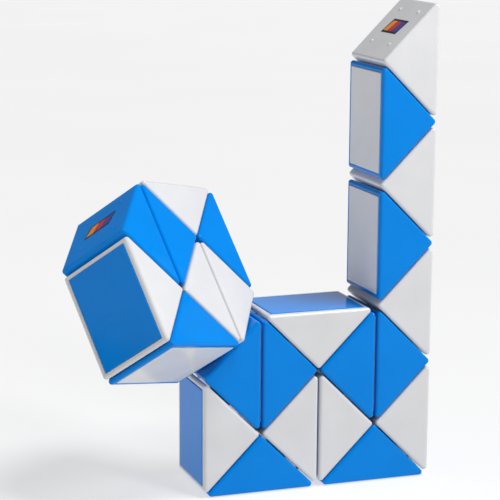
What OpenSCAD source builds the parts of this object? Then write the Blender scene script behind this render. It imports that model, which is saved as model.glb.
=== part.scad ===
// Twisty snake puzzle: a chain of 24 right-angled wedges, each free to turn on its neighbours
// about the middle of the square face that they share. It is drawn folded into a crane-like figure
// that stands on the sloping sides of two of its wedges, with its head turned out of the plane of
// its body. Millimetres, +Z up, the flat front of the body towards -Y.
//
// A wedge is drawn in its own frame: its right-angled edge is the Z axis, its two square faces lie
// on the planes x = 0 (face A, towards the wedge before) and y = 0 (face B, towards the wedge
// after), and its sloping side runs between their far edges.

/* [Wedge] */
// Length of the two short sides of a wedge, which is also its depth
leg = 22; // [20:0.5:26]
// Thickness of the two square walls
wall = 1.6; // [1.4:0.1:2]
// Thickness of the two triangular walls
side_wall = 2; // [1.8:0.1:2.4]
// Width of the rim beside the cap
rim = 1.4; // [1.2:0.1:1.6]
// Radius of the outer edges
edge_r = 0.7; // [0.3:0.1:1]
// Radius of the two sharp tips
tip_r = 0.7; // [0.4:0.1:1]
// Set-back of a square face from the joint's middle plane
face_gap = 0.15; // [0.1:0.05:0.25]
// Set-back of a triangular face from the full depth
side_gap = 0.1; // [0:0.05:0.3]
// Set-back of the rim from the true slope
slope_gap = 0.25; // [0.2:0.05:0.4]

/* [Cap] */
// Thickness of a cap
cap_t = 1.5; // [1.3:0.1:1.8]
// Set-back of a cap's outer face from the true slope
cap_gap = 0.1; // [0.05:0.05:0.15]
// Clearance between a cap and the opening that it fills
cap_fit = 0.06; // [0.04:0.01:0.1]
// Radius of a cap's outer edges
cap_edge_r = 0.35; // [0.2:0.05:0.5]
// Length of the two ribs that hold a cap in place
rib_len = 11; // [8:0.5:12]

/* [Pivot] */
// Diameter of a screw
screw_d = 2.6; // [2.4:0.1:3]
// How far a screw reaches into the white wedge
screw_in = 5; // [4.5:0.1:5.2]
// Outer diameter of the boss that a screw is driven into
boss_d = 5; // [4.6:0.1:5.4]
// Outer diameter of a spring
spring_d = 4.2; // [4:0.1:4.6]
// Diameter of a spring's wire
wire_d = 0.5; // [0.4:0.05:0.6]
// Turns in a spring
spring_turns = 2.75; // [2:0.25:3]
// Length of a spring when it is assembled
spring_len = 2.2; // [2:0.1:2.4]
// Thickness of a washer
washer_t = 0.3; // [0.2:0.05:0.5]
// Diameter of a screw's head
head_d = 4.4; // [4:0.1:4.6]
// Height of a screw's head
head_t = 1.2; // [1:0.1:1.3]

/* [Detents] */
// Distance from the middle of a square face to each detent, along both of its sides
detent_at = 5.5; // [5:0.5:7]
// Height of the bumps on a white face
bump_h = 0.24; // [0.15:0.01:0.28]
// Depth of the dimples in a blue face
dimple_h = 0.2; // [0.1:0.05:0.3]
// Radius of the ball that shapes both
detent_r = 0.8; // [0.6:0.1:1.2]

/* [Fold] */
// Turn of the head about the joint that carries it
head_turn = 53.5; // [45:0.5:60]

/* [Hidden] */
WEDGES = 24;
// Turn at each joint: 0 lays the next wedge end to end as in a straight bar, 180 folds it back
fold = [0, 0, 0, 0, 0, 0, 180, 180, 0, 180, 180, 0, 180, 180, 0, -head_turn,
        0, 180, 180, 0, 180, 180, 0];
// Half the length of a sloping side: the figure's grid
grid = leg / sqrt(2);
half_depth = leg / 2 - side_gap;
inner = face_gap + wall;
slope_sum = leg - slope_gap * sqrt(2);
cap_out = slope_gap - cap_gap;
cap_in = cap_t - cap_out;
seat_sum = slope_sum - cap_in * sqrt(2);
boss_in = screw_in + 0.5;
boss_bore_in = screw_in + 0.1;
pivot_play = 0.1;
ring_d = 7;
ring_top = face_gap - 0.02;
play = 0.02;
washer_at = inner + spring_len;
head_at = washer_at + washer_t + play;
rib_t = 1;
rib_h = 2.5;
beyond = 2;
// The wedge whose cap rests on the floor sits this far above the grid's lowest line
floor_z = -cap_gap;
// How far a rounded corner falls short of the sharp one, seen along X
corner_loss = face_gap + 0.607 * edge_r;
// The middle of the figure's width, between the column's caps and the head's leading corner
left_x = -grid * (1.5 + (cos(head_turn) + sin(head_turn)) / 2) + corner_loss;
middle_x = (left_x + 4 * grid - cap_gap) / 2;

SHELLS = [for (k = [1:WEDGES]) str("shell_", k < 10 ? "0" : "", k)];
CAPS = [for (k = [1:WEDGES]) str("cap_", k < 10 ? "0" : "", k)];
PIVOTS = [for (k = [1:2:WEDGES]) str("pivot_", k < 10 ? "0" : "", k)];

WHITE = [0.93, 0.93, 0.95];
BLUE = [0.05, 0.5, 0.9];
STEEL = [0.75, 0.76, 0.78];
$fn = 48;

// ---- Where each wedge goes ----

function shift(v) = [[1, 0, 0, v.x], [0, 1, 0, v.y], [0, 0, 1, v.z], [0, 0, 0, 1]];
function turn_y(a) = [[cos(a), 0, sin(a), 0], [0, 1, 0, 0], [-sin(a), 0, cos(a), 0], [0, 0, 0, 1]];
// Turns a wedge so that its face A meets the face B before it, end to end
FLIP = [[0, -1, 0, 0], [-1, 0, 0, 0], [0, 0, -1, 0], [0, 0, 0, 1]];
// The top wedge of the column: right-angled edge at the column's left, face A up and to the left
TOP = shift([3 * grid - middle_x, 0, 7 * grid + floor_z])
    * [[sqrt(0.5), sqrt(0.5), 0, 0], [0, 0, -1, 0], [-sqrt(0.5), sqrt(0.5), 0, 0], [0, 0, 0, 1]];
function step(a) = shift([leg / 2, 0, 0]) * turn_y(a) * FLIP * shift([0, -leg / 2, 0]);
function place(k) = k == 1 ? TOP : place(k - 1) * step(fold[k - 2]);
function is_white(k) = k % 2 == 1;

// ---- Frames within a wedge ----

// The middle of face A or B, with +Z pointing out of the wedge
module at_face(face) {
    if (face == "A") translate([0, leg / 2, 0]) rotate([0, -90, 0]) children();
    else translate([leg / 2, 0, 0]) rotate([90, 0, 0]) children();
}

// The middle of the rim's plane, with +X pointing out of the wedge and +Y along the slope
module at_slope() {
    translate([slope_sum / 2, slope_sum / 2, 0]) rotate([0, 0, 45]) children();
}

// ---- Shapes ----

// The wedge's triangle, with its corners rounded
module triangle() {
    corner = face_gap + edge_r;
    low = face_gap + tip_r;
    far = slope_sum - face_gap - tip_r * (1 + sqrt(2));
    chord = tip_r * sqrt(0.5);
    polygon([
        [corner, face_gap], [far, face_gap], [far + chord, low + chord],
        [low + chord, far + chord], [face_gap, far], [face_gap, corner],
    ]);
    translate([corner, corner]) circle(edge_r);
    translate([far, low]) circle(tip_r);
    translate([low, far]) circle(tip_r);
}

// A long bar along Z with two rounded edges on its side at x = 0, which it fills towards +X
module half_round_bar(half, radius) {
    linear_extrude(2 * leg, center = true) {
        polygon([
            [0, -half + radius], [radius, -half], [leg, -half],
            [leg, half], [radius, half], [0, half - radius],
        ]);
        for (side = [-1, 1]) translate([radius, side * (half - radius)]) circle(radius);
    }
}

// The wedge's outer form: the triangle, with the edges of its three flat sides rounded
module outer_form() {
    intersection() {
        linear_extrude(leg + beyond, center = true) triangle();
        translate([face_gap, 0, 0]) rotate([90, 0, 0]) half_round_bar(half_depth, edge_r);
        translate([0, face_gap, 0]) rotate([90, 0, 90]) half_round_bar(half_depth, edge_r);
        at_slope() rotate([90, 0, 180]) half_round_bar(half_depth, edge_r);
    }
}

// The hollow, open at the slope, with a ledge at the triangular walls that the cap sits on
module hollow() {
    far = leg + beyond;
    linear_extrude(2 * (half_depth - side_wall), center = true)
        polygon([[inner, inner], [far, inner], [inner, far]]);
    linear_extrude(2 * (half_depth - rim), center = true)
        polygon([
            [inner, seat_sum - inner], [seat_sum - inner, inner],
            [far, inner], [inner, far],
        ]);
}

module bumps() {
    for (x = [-1, 1], y = [-1, 1])
        translate([x * detent_at, y * detent_at, bump_h - face_gap - detent_r]) sphere(detent_r);
}

module dimples() {
    for (x = [-1, 1], y = [-1, 1])
        translate([x * detent_at, y * detent_at, detent_r - dimple_h - face_gap]) sphere(detent_r);
}

// The boss that a screw is driven into, and the ring that the next wedge turns against
module boss() {
    translate([0, 0, -boss_in]) cylinder(h = boss_in - face_gap, d = boss_d);
    translate([0, 0, -face_gap]) cylinder(h = face_gap + ring_top, d = ring_d);
}

module screw_bore() {
    translate([0, 0, -boss_bore_in]) cylinder(h = boss_bore_in + 1, d = screw_d);
}

module clearance_bore() {
    translate([0, 0, -inner - 1]) cylinder(h = inner + 2, d = screw_d + pivot_play);
}

function joined_faces(k) = [if (k > 1) "A", if (k < WEDGES) "B"];
function free_faces(k) = [if (k == 1) "A", if (k == WEDGES) "B"];

// A white shell carries the screws in its bosses, and bumps on both of its square faces
module white_shell(k) {
    color(WHITE) difference() {
        union() {
            difference() {
                outer_form();
                hollow();
            }
            for (face = joined_faces(k)) at_face(face) boss();
            for (face = ["A", "B"]) at_face(face) bumps();
        }
        for (face = joined_faces(k)) at_face(face) screw_bore();
    }
}

// A blue shell turns on the screws, and has dimples for the bumps that it meets
module blue_shell(k) {
    color(BLUE) difference() {
        union() {
            difference() {
                outer_form();
                hollow();
            }
            for (face = free_faces(k)) at_face(face) bumps();
        }
        for (face = joined_faces(k)) at_face(face) {
            clearance_bore();
            dimples();
        }
    }
}

module shell(k) {
    if (is_white(k)) white_shell(k);
    else blue_shell(k);
}

// A plate with bevelled ends that stands proud of the rim, and two ribs beneath it
module cap(k) {
    half_len_out = slope_sum / sqrt(2) - sqrt(2) * inner + cap_out;
    half_width = half_depth - rim - cap_fit;
    end_fit = cap_fit * sqrt(2);
    half_len_face = half_len_out - cap_out - end_fit;
    color(is_white(k) ? BLUE : WHITE) at_slope() {
        intersection() {
            linear_extrude(2 * leg, center = true)
                polygon([
                    [-cap_in, -half_len_face + cap_in], [0, -half_len_face],
                    [cap_out, -half_len_face], [cap_out, half_len_face],
                    [0, half_len_face], [-cap_in, half_len_face - cap_in],
                ]);
            translate([cap_out, 0, 0]) rotate([90, 0, 180]) half_round_bar(half_width, cap_edge_r);
            translate([cap_out, 0, 0]) rotate([0, 0, 180])
                half_round_bar(half_len_face, cap_edge_r);
        }
        for (side = [-1, 1])
            translate([-cap_in - rib_h, -rib_len / 2,
                       side * (half_depth - side_wall - cap_fit - rib_t / 2) - rib_t / 2])
                cube([rib_h + 0.2, rib_len, rib_t]);
    }
}

// ---- Pivots: a screw, a washer under its head, and the spring that pulls the faces together ----

module screw() {
    slot = [0.6, head_d * 0.6, 0.6];
    difference() {
        union() {
            translate([0, 0, -screw_in]) cylinder(h = screw_in + head_at + 0.2, d = screw_d);
            translate([0, 0, head_at]) cylinder(h = head_t, d = head_d);
        }
        for (turn = [0, 90]) rotate([0, 0, turn])
            translate([-slot.x / 2, -slot.y / 2, head_at + head_t - slot.z + 0.01]) cube(slot);
    }
}

module washer() {
    translate([0, 0, washer_at]) difference() {
        cylinder(h = washer_t, d = head_d);
        translate([0, 0, -1]) cylinder(h = washer_t + 2, d = screw_d + pivot_play);
    }
}

// A coil swept along a helix from the wall to the washer
module spring() {
    sides = 6;
    steps = 12 * spring_turns;
    coil_r = (spring_d - wire_d) / 2;
    rise = spring_len - wire_d - 2 * play;
    start = inner + play + wire_d / 2;
    function coil_point(i, s) =
        let (along = 360 * spring_turns * i / steps, round = 360 * s / sides,
             r = coil_r + wire_d / 2 * cos(round))
        [r * cos(along), r * sin(along), start + rise * i / steps + wire_d / 2 * sin(round)];
    points = [for (i = [0:steps], s = [0:sides - 1]) coil_point(i, s)];
    skin = [for (i = [0:steps - 1], s = [0:sides - 1])
        let (a = i * sides + s, b = i * sides + (s + 1) % sides)
        [a, b, b + sides, a + sides]];
    start_end = [for (s = [0:sides - 1]) sides - 1 - s];
    far_end = [for (s = [0:sides - 1]) steps * sides + s];
    polyhedron(points, concat(skin, [start_end, far_end]), convexity = 6);
}

// The pivots that are driven into white wedge k
module pivots(k) {
    color(STEEL) for (face = joined_faces(k)) at_face(face) {
        screw();
        washer();
        spring();
    }
}

for (k = [1:WEDGES]) {
    multmatrix(place(k)) shell(k);
    multmatrix(place(k)) cap(k);
}
for (k = [1:2:WEDGES])
    multmatrix(place(k)) pivots(k);
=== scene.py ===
"""The looks of the twisty snake puzzle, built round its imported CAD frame.

Every wedge gets a detailed moulded shell and cap in place of its plain CAD ones, drawn in
millimetres in the wedge's own frame, as in the CAD model: its right-angled edge is the Z axis, its
square faces lie on x = 0 (face A, towards the wedge before) and y = 0 (face B, towards the wedge
after), and its sloping side runs between their far edges.
"""
import math

import bmesh
import bpy
from mathutils import Matrix, Vector


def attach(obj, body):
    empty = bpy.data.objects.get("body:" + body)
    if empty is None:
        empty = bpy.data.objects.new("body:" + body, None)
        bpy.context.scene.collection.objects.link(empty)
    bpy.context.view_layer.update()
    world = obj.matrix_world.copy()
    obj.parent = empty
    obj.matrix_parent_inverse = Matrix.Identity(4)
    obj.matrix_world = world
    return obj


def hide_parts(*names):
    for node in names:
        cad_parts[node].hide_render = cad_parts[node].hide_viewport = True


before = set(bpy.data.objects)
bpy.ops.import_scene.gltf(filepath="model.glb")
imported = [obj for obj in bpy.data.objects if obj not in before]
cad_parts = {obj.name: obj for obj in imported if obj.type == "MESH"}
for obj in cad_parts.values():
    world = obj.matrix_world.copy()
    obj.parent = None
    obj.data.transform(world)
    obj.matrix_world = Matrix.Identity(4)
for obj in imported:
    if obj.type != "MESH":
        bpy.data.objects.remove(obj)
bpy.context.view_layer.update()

X, Y, Z = Vector((1, 0, 0)), Vector((0, 1, 0)), Vector((0, 0, 1))

# ---- Sizes of a wedge, as in the CAD model, in millimetres ----

WEDGES = 24
LEG = 22.0           # the two short sides, and the depth
WALL = 1.6           # the square walls
SIDE_WALL = 2.0      # the triangular walls
RIM = 1.4            # the rim beside the cap
FACE_GAP = 0.15      # set-back of a square face
SIDE_GAP = 0.1       # set-back of a triangular face
SLOPE_GAP = 0.25     # set-back of the rim from the true slope
EDGE_R = 0.7         # rounding of the outer edges in the CAD model
SOFT_R = 0.8         # rounding of the outer edges here, a little softer
CAP_T = 1.5          # thickness of a cap
CAP_GAP = 0.1        # set-back of a cap from the true slope
CAP_FIT = 0.06       # clearance round a cap
CAP_EDGE_R = 0.35    # rounding of a cap's outer edges
RIB_LEN, RIB_H, RIB_T = 11.0, 2.5, 1.0   # the two ribs that hold a cap
RIB_R = 0.2          # rounding of a rib's upright edges
SCREW_D = 2.6
SCREW_IN = 5.0
BOSS_D = 5.0
PIVOT_PLAY = 0.1
RING_D = 7.0
RING_TOP = FACE_GAP - 0.02
DETENT_AT = 5.5      # bumps and dimples, from the middle of a square face
DETENT_R = 0.8
BUMP_H = 0.24
DIMPLE_H = 0.2
HEAD_TURN = 53.5     # turn of the head about the joint that carries it

GRID = LEG / math.sqrt(2)
HALF_DEPTH = LEG / 2 - SIDE_GAP
INNER = FACE_GAP + WALL
SLOPE_SUM = LEG - SLOPE_GAP * math.sqrt(2)      # x + y on the rim
CAP_OUT = SLOPE_GAP - CAP_GAP                   # how far a cap stands proud of the rim
CAP_IN = CAP_T - CAP_OUT
SEAT_SUM = SLOPE_SUM - CAP_IN * math.sqrt(2)    # x + y on the ledge under the cap

# Turn at each joint: 0 lays the next wedge end to end as in a bar, 180 folds it back
FOLD = [0, 0, 0, 0, 0, 0, 180, 180, 0, 180, 180, 0, 180, 180, 0, -HEAD_TURN,
        0, 180, 180, 0, 180, 180, 0]


def places():
    """Every wedge's matrix, in millimetres, with the middle of the figure's width at x = 0."""
    turn = math.radians(HEAD_TURN)
    corner_loss = FACE_GAP + 0.607 * EDGE_R
    left = -GRID * (1.5 + (math.cos(turn) + math.sin(turn)) / 2) + corner_loss
    middle = (left + 4 * GRID - CAP_GAP) / 2
    r = math.sqrt(0.5)
    top = Matrix(((r, r, 0, 3 * GRID - middle), (0, 0, -1, 0),
                  (-r, r, 0, 7 * GRID - CAP_GAP), (0, 0, 0, 1)))
    flip = Matrix(((0, -1, 0, 0), (-1, 0, 0, 0), (0, 0, -1, 0), (0, 0, 0, 1)))
    made = [top]
    for angle in FOLD:
        made.append(made[-1] @ Matrix.Translation(X * LEG / 2)
                    @ Matrix.Rotation(math.radians(angle), 4, "Y")
                    @ flip @ Matrix.Translation(Y * -LEG / 2))
    return made


# Frames within a wedge: the middle of face A or B with +Z outwards, and the middle of the rim's
# plane with +Z outwards and +Y along the slope
AT_FACE = {
    "A": Matrix.Translation(Y * LEG / 2) @ Matrix.Rotation(math.radians(-90), 4, "Y"),
    "B": Matrix.Translation(X * LEG / 2) @ Matrix.Rotation(math.radians(90), 4, "X"),
}
AT_SLOPE = (Matrix.Translation((SLOPE_SUM / 2, SLOPE_SUM / 2, 0))
            @ Matrix.Rotation(math.radians(45), 4, "Z") @ Matrix.Rotation(math.radians(90), 4, "Y"))


def joined_faces(k):
    return [face for face, there in (("A", k > 1), ("B", k < WEDGES)) if there]


# ---- Meshes ----

def new_object(name, bm, at=Matrix()):
    bmesh.ops.transform(bm, matrix=at, verts=bm.verts)
    bmesh.ops.recalc_face_normals(bm, faces=bm.faces)
    mesh = bpy.data.meshes.new(name)
    bm.to_mesh(mesh)
    bm.free()
    obj = bpy.data.objects.new(name, mesh)
    bpy.context.scene.collection.objects.link(obj)
    return obj


def arc(centre, radius, start, end, steps):
    """Points on an arc, from one angle to another, both included."""
    return [(centre[0] + radius * math.cos(start + (end - start) * i / steps),
             centre[1] + radius * math.sin(start + (end - start) * i / steps))
            for i in range(steps + 1)]


def rounded_outline(corners, radius, steps_90=6):
    """A convex, counter-clockwise outline, rounded outwards round its inner corners. Each radius
    gives the same number of points, so that outlines of one form stack into strips."""
    points = []
    for i, (x, y) in enumerate(corners):
        before = Vector((x, y)) - Vector(corners[i - 1])
        after = Vector(corners[(i + 1) % len(corners)]) - Vector((x, y))
        start = math.atan2(-before.x, before.y)
        turn = (math.atan2(-after.x, after.y) - start) % math.tau
        steps = max(2, round(steps_90 * turn / (math.pi / 2)))
        points += arc((x, y), radius, start, start + turn, steps)
    return points


def stack(name, levels, at=Matrix()):
    """A closed solid on stacked outlines: a list of (outline, height), from the bottom up."""
    bm = bmesh.new()
    rings = [[bm.verts.new((x, y, z)) for x, y in outline] for outline, z in levels]
    bm.faces.new(list(reversed(rings[0])))
    for low, high in zip(rings, rings[1:]):
        for i in range(len(low)):
            j = (i + 1) % len(low)
            bm.faces.new((low[i], low[j], high[j], high[i]))
    bm.faces.new(rings[-1])
    bmesh.ops.remove_doubles(bm, verts=bm.verts, dist=1e-5)
    return new_object(name, bm, at)


def rounded_prism(name, inner_corners, radius, half, steps=6):
    """A prism along Z with every edge and corner rounded by one ball."""
    quarter = [math.pi / 2 * i / steps for i in range(steps + 1)]
    levels = [(a, half - radius + radius * math.sin(a)) for a in quarter]
    levels = [(a, -z) for a, z in reversed(levels)] + levels
    return stack(name, [(rounded_outline(inner_corners, radius * math.cos(a), steps), z)
                        for a, z in levels])


def prism(outline, half):
    return stack("tool", [(outline, -half), (outline, half)])


def cylinder(diameter, low, high, at):
    ring = arc((0, 0), diameter / 2, 0, math.tau * 47 / 48, 47)
    return stack("tool", [(ring, low), (ring, high)], at)


def ball(x, y, z, radius, at):
    bm = bmesh.new()
    bmesh.ops.create_uvsphere(bm, u_segments=24, v_segments=16, radius=radius,
                              matrix=Matrix.Translation((x, y, z)))
    return new_object("tool", bm, at)


def baked(obj):
    """Applies an object's modifiers to its mesh."""
    bpy.context.view_layer.update()
    graph = bpy.context.evaluated_depsgraph_get()
    mesh = bpy.data.meshes.new_from_object(obj.evaluated_get(graph))
    obj.modifiers.clear()
    old, obj.data = obj.data, mesh
    bpy.data.meshes.remove(old)


def combine(obj, operation, *tools):
    """Joins or cuts solids one after another, and removes the tools."""
    for tool in tools:
        mod = obj.modifiers.new("solid", "BOOLEAN")
        mod.operation = operation
        mod.solver = "EXACT"
        mod.object = tool
        baked(obj)
        bpy.data.objects.remove(tool)


def detents(face, height):
    """The four balls of a square face's bumps or dimples; height is their middle's."""
    return [ball(x * DETENT_AT, y * DETENT_AT, height, DETENT_R, AT_FACE[face])
            for x in (-1, 1) for y in (-1, 1)]


def make_shell(name, k):
    """Wedge k's moulding. White ones hold the screws; blue ones turn on them."""
    low = FACE_GAP + SOFT_R
    far = SLOPE_SUM - SOFT_R * math.sqrt(2) - low
    obj = rounded_prism(name, [(low, low), (far, low), (low, far)], SOFT_R, HALF_DEPTH, 8)
    combine(obj, "DIFFERENCE",
            prism([(INNER, INNER), (LEG, INNER), (INNER, LEG)], HALF_DEPTH - SIDE_WALL),
            prism([(INNER, SEAT_SUM - INNER), (SEAT_SUM - INNER, INNER), (LEG, INNER), (LEG, LEG),
                   (INNER, LEG)], HALF_DEPTH - RIM))
    white = k % 2 == 1
    if white:
        for face in joined_faces(k):
            combine(obj, "UNION",
                    cylinder(BOSS_D, -SCREW_IN - 0.5, -INNER / 2, AT_FACE[face]),
                    cylinder(RING_D, -INNER / 2, RING_TOP, AT_FACE[face]))
            combine(obj, "DIFFERENCE", cylinder(SCREW_D, -SCREW_IN - 0.1, 1, AT_FACE[face]))
    else:
        for face in joined_faces(k):
            combine(obj, "DIFFERENCE",
                    cylinder(SCREW_D + PIVOT_PLAY, -INNER - 1, 1, AT_FACE[face]),
                    *detents(face, DETENT_R - DIMPLE_H - FACE_GAP))
    for face in "AB":
        if white or face not in joined_faces(k):
            combine(obj, "UNION", *detents(face, BUMP_H - FACE_GAP - DETENT_R))
    return obj


def make_cap(name):
    """A plate with bevelled ends, rounded along its outer edges, and the ribs beneath it."""
    half_len = SLOPE_SUM / math.sqrt(2) - math.sqrt(2) * INNER - CAP_FIT * math.sqrt(2)
    half_width = HALF_DEPTH - RIM - CAP_FIT
    r, steps = CAP_EDGE_R, 6

    def outline(shrink, ends=0.0):
        x, y = half_width - r, half_len - ends - r
        return rounded_outline([(-x, -y), (x, -y), (x, y), (-x, y)], r - shrink, steps)

    rise = [math.pi / 2 * i / steps for i in range(steps + 1)]
    start = CAP_OUT - r
    levels = [(outline(0, CAP_IN), -CAP_IN), (outline(0, -start), start)]
    levels += [(outline(r * (1 - math.cos(a)), max(0, -start - r * math.sin(a))),
                start + r * math.sin(a)) for a in rise[1:]]
    obj = stack(name, levels)
    for side in (-1, 1):
        x = side * (HALF_DEPTH - SIDE_WALL - CAP_FIT - RIB_T / 2)
        half_t, half_l = RIB_T / 2 - RIB_R, RIB_LEN / 2 - RIB_R
        ring = rounded_outline([(x - half_t, -half_l), (x + half_t, -half_l),
                                (x + half_t, half_l), (x - half_t, half_l)], RIB_R, 3)
        combine(obj, "UNION", stack("tool", [(ring, -CAP_IN - RIB_H), (ring, -CAP_IN + RIB_R)]))
    bm = bmesh.new()
    bm.from_mesh(obj.data)
    bmesh.ops.transform(bm, matrix=AT_SLOPE, verts=bm.verts)
    bmesh.ops.recalc_face_normals(bm, faces=bm.faces)
    bm.to_mesh(obj.data)
    bm.free()
    return obj


def smooth(obj, angle=38):
    """Soft shading round the rounded edges, with flat faces kept flat."""
    for polygon in obj.data.polygons:
        polygon.use_smooth = True
    obj.data.set_sharp_from_angle(angle=math.radians(angle))
    mod = obj.modifiers.new("even", "WEIGHTED_NORMAL")
    mod.keep_sharp = True
    mod.weight = 90


def settle(pattern, name, matrix, body, node, material):
    """A copy of a pattern mesh, in its place in the figure and in metres."""
    obj = bpy.data.objects.new(name, pattern.data.copy())
    bpy.context.scene.collection.objects.link(obj)
    obj.data.name = name
    obj.data.transform(Matrix.Scale(0.001, 4) @ matrix)
    obj.data.materials.clear()
    obj.data.materials.append(material)
    smooth(obj)
    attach(obj, body)
    if node:
        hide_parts(node)
    return obj


# ---- Materials ----

def new_material(name):
    material = bpy.data.materials.new(name)
    material.use_nodes = True
    nodes = material.node_tree.nodes
    nodes.clear()
    output = nodes.new("ShaderNodeOutputMaterial")
    shader = nodes.new("ShaderNodeBsdfPrincipled")
    material.node_tree.links.new(shader.outputs["BSDF"], output.inputs["Surface"])
    return material, shader


def noise(material, scale, detail=2.0, roughness=0.5):
    nodes, links = material.node_tree.nodes, material.node_tree.links
    place = nodes.new("ShaderNodeTexCoord")
    made = nodes.new("ShaderNodeTexNoise")
    made.inputs["Scale"].default_value = scale
    made.inputs["Detail"].default_value = detail
    made.inputs["Roughness"].default_value = roughness
    links.new(place.outputs["Object"], made.inputs["Vector"])
    return made


def ramp(material, source, low, high, start=0.3, end=0.7):
    """A colour or value that follows a noise between two ends."""
    nodes, links = material.node_tree.nodes, material.node_tree.links
    made = nodes.new("ShaderNodeValToRGB")
    made.color_ramp.elements[0].position = start
    made.color_ramp.elements[1].position = end
    made.color_ramp.elements[0].color = (*low, 1)
    made.color_ramp.elements[1].color = (*high, 1)
    links.new(source.outputs["Fac"], made.inputs["Fac"])
    return made


def plastic(name, colour, rough, specular, grain=0.012):
    """Glossy moulded plastic: faint clouding of the colour, uneven polish, a little orange peel."""
    material, shader = new_material(name)
    nodes, links = material.node_tree.nodes, material.node_tree.links
    cloud = ramp(material, noise(material, 90, 3), [c * 0.965 for c in colour],
                 [min(1, c * 1.03) for c in colour])
    links.new(cloud.outputs["Color"], shader.inputs["Base Color"])
    polish = ramp(material, noise(material, 260, 4, 0.6), (rough * 0.85,) * 3, (rough * 1.2,) * 3)
    links.new(polish.outputs["Color"], shader.inputs["Roughness"])
    peel = noise(material, 900, 2)
    fine = nodes.new("ShaderNodeBump")
    fine.inputs["Strength"].default_value = 0.25
    fine.inputs["Distance"].default_value = grain * 0.001
    links.new(peel.outputs["Fac"], fine.inputs["Height"])
    links.new(fine.outputs["Normal"], shader.inputs["Normal"])
    shader.inputs["IOR"].default_value = 1.5
    shader.inputs["Specular IOR Level"].default_value = specular
    return material


def steel(name):
    """Bright zinc-plated steel with fine scratches."""
    material, shader = new_material(name)
    nodes, links = material.node_tree.nodes, material.node_tree.links
    tone = ramp(material, noise(material, 700, 4), (0.42, 0.42, 0.44), (0.62, 0.62, 0.64))
    links.new(tone.outputs["Color"], shader.inputs["Base Color"])
    wear = ramp(material, noise(material, 2500, 3), (0.22,) * 3, (0.42,) * 3)
    links.new(wear.outputs["Color"], shader.inputs["Roughness"])
    shader.inputs["Metallic"].default_value = 1.0
    return material


def ink(name, colour):
    """Printed ink, a little uneven."""
    material, shader = new_material(name)
    tone = ramp(material, noise(material, 1200, 3), [c * 0.85 for c in colour],
                [min(1, c * 1.15) for c in colour])
    material.node_tree.links.new(tone.outputs["Color"], shader.inputs["Base Color"])
    gloss = ramp(material, noise(material, 500, 2), (0.25,) * 3, (0.4,) * 3)
    material.node_tree.links.new(gloss.outputs["Color"], shader.inputs["Roughness"])
    return material


WHITE = plastic("white_plastic", (0.72, 0.72, 0.735), 0.12, 0.25)
BLUE = plastic("blue_plastic", (0.0, 0.235, 0.76), 0.09, 0.10)
STEEL = steel("zinc_plated_steel")

# ---- The wedges ----

at = places()
patterns = {
    "white_end": make_shell("white_end", 1), "white": make_shell("white", 3),
    "blue": make_shell("blue", 2), "blue_end": make_shell("blue_end", WEDGES),
    "cap": make_cap("cap"),
}
for k in range(1, WEDGES + 1):
    white = k % 2 == 1
    kind = ("white" if white else "blue") + ("_end" if k in (1, WEDGES) else "")
    body = f"wedge_{k:02d}"
    settle(patterns[kind], f"moulded_shell_{k:02d}", at[k - 1], body, f"shell_{k:02d}",
           WHITE if white else BLUE)
    settle(patterns["cap"], f"snap_cap_{k:02d}", at[k - 1], body, f"cap_{k:02d}",
           BLUE if white else WHITE)
for pattern in patterns.values():
    bpy.data.objects.remove(pattern)


def joined(first, second):
    """Both meshes in one object, each with its own material."""
    with bpy.context.temp_override(active_object=first, object=first,
                                   selected_editable_objects=[first, second]):
        bpy.ops.object.join()
    return first


def make_emblem(name, wedge, face):
    """A plain printed badge on a free face: three slanted bars on a dark ground."""
    along = Matrix.Rotation(math.radians(0 if face == "A" else -90), 4, "Z")
    obj = None
    for (u, half_u, half_v, slant), low, high, material in EMBLEM:
        radius = 0.15
        corners = [(u + a * (half_u - radius) + b * slant, b * (half_v - radius))
                   for a, b in ((-1, -1), (1, -1), (1, 1), (-1, 1))]
        part = stack(name, [(rounded_outline(corners, radius, 4), low - FACE_GAP),
                            (rounded_outline(corners, radius, 4), high - FACE_GAP)],
                     at[wedge - 1] @ AT_FACE[face] @ along)
        part.data.materials.append(material)
        obj = joined(obj, part) if obj else part
    obj.data.transform(Matrix.Scale(0.001, 4))
    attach(obj, f"wedge_{wedge:02d}")


# Each part: middle, half length and half height, lean; then its underside, top and colour
EMBLEM = [
    ((0, 4.4, 2.3, 0.6), 0, 0.03, ink("ink_night", (0.012, 0.016, 0.05))),
    ((-2.6, 1.2, 1.7, 0.6), 0.03, 0.05, ink("ink_orange", (0.85, 0.30, 0.03))),
    ((0, 1.2, 1.7, 0.6), 0.03, 0.05, ink("ink_red", (0.55, 0.035, 0.05))),
    ((2.6, 1.2, 1.7, 0.6), 0.03, 0.05, ink("ink_violet", (0.06, 0.06, 0.32))),
]
make_emblem("badge_01", 1, "A")
make_emblem("badge_24", WEDGES, "B")

for k in range(1, WEDGES, 2):
    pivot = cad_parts[f"pivot_{k:02d}"]
    pivot.data.materials.clear()
    pivot.data.materials.append(STEEL)

# ---- Floor, light and camera ----

floor_bm = bmesh.new()
bmesh.ops.create_grid(floor_bm, x_segments=2, y_segments=2, size=60)
floor = new_object("floor", floor_bm)
floor_material, floor_shader = new_material("pale_floor")
floor_tone = ramp(floor_material, noise(floor_material, 6, 2), (0.33,) * 3, (0.35,) * 3)
floor_material.node_tree.links.new(floor_tone.outputs["Color"], floor_shader.inputs["Base Color"])
floor_shader.inputs["Roughness"].default_value = 0.7
floor_shader.inputs["Emission Color"].default_value = (1, 1, 1, 1)
floor_shader.inputs["Emission Strength"].default_value = 0.60
floor.data.materials.append(floor_material)


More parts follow.
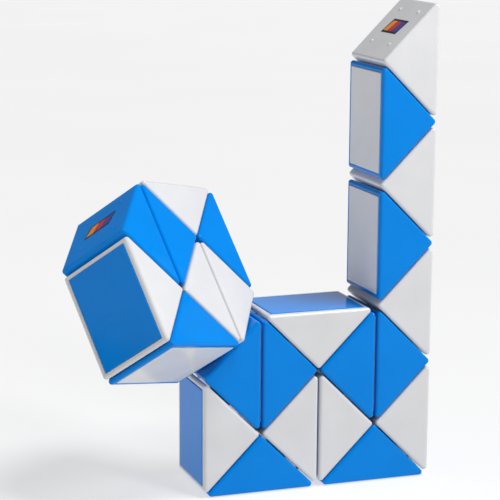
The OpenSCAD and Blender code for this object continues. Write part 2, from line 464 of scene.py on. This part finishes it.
def aim(obj, target):
    obj.rotation_mode = "QUATERNION"
    obj.rotation_quaternion = (Vector(target) - obj.location).to_track_quat("-Z", "Y")


def area_light(name, place, target, size, power):
    light = bpy.data.lights.new(name, "AREA")
    light.shape = "RECTANGLE"
    light.size, light.size_y = size
    light.energy = power
    obj = bpy.data.objects.new(name, light)
    bpy.context.scene.collection.objects.link(obj)
    obj.location = place
    aim(obj, target)
    return obj


def sun_light(name, direction, strength, angle):
    light = bpy.data.lights.new(name, "SUN")
    light.energy = strength
    light.angle = math.radians(angle)
    obj = bpy.data.objects.new(name, light)
    bpy.context.scene.collection.objects.link(obj)
    obj.location = direction
    aim(obj, (0, 0, 0))
    return obj


MIDDLE = (0, 0, 0.06)
sun_light("key", (0.33, -0.20, 0.92), 2.15, 20)
area_light("near", (0.11, -0.20, 0.26), (0.02, 0, 0.09), (0.06, 0.06), 0.34)
area_light("left_card", (-0.9, 0.1, 0.35), MIDDLE, (0.5, 0.5), 1.0)
area_light("back_card", (0.9, 2.3, 0.62), MIDDLE, (0.9, 0.5), 0.8)

world = bpy.data.worlds.new("studio")
bpy.context.scene.world = world
world.use_nodes = True
background = world.node_tree.nodes["Background"]
background.inputs["Color"].default_value = (0.97, 0.985, 1, 1)
background.inputs["Strength"].default_value = 0.17

camera_data = bpy.data.cameras.new("camera")
camera = bpy.data.objects.new("camera", camera_data)
bpy.context.scene.collection.objects.link(camera)
AZIMUTH, ELEVATION, DISTANCE = math.radians(18.10), math.radians(12.93), 0.4700
TARGET = Vector((-0.01163, 0, 0.0497))
back = Vector((-math.sin(AZIMUTH) * math.cos(ELEVATION), -math.cos(AZIMUTH) * math.cos(ELEVATION),
               math.sin(ELEVATION)))
camera.location = TARGET + back * DISTANCE
aim(camera, TARGET)
camera_data.sensor_width = 36
camera_data.lens = 133.9056
camera_data.shift_x, camera_data.shift_y = 0.1004, 0.0954
camera_data.clip_start, camera_data.clip_end = 0.01, 200
bpy.context.scene.camera = camera
bpy.context.scene.view_settings.view_transform = "Standard"
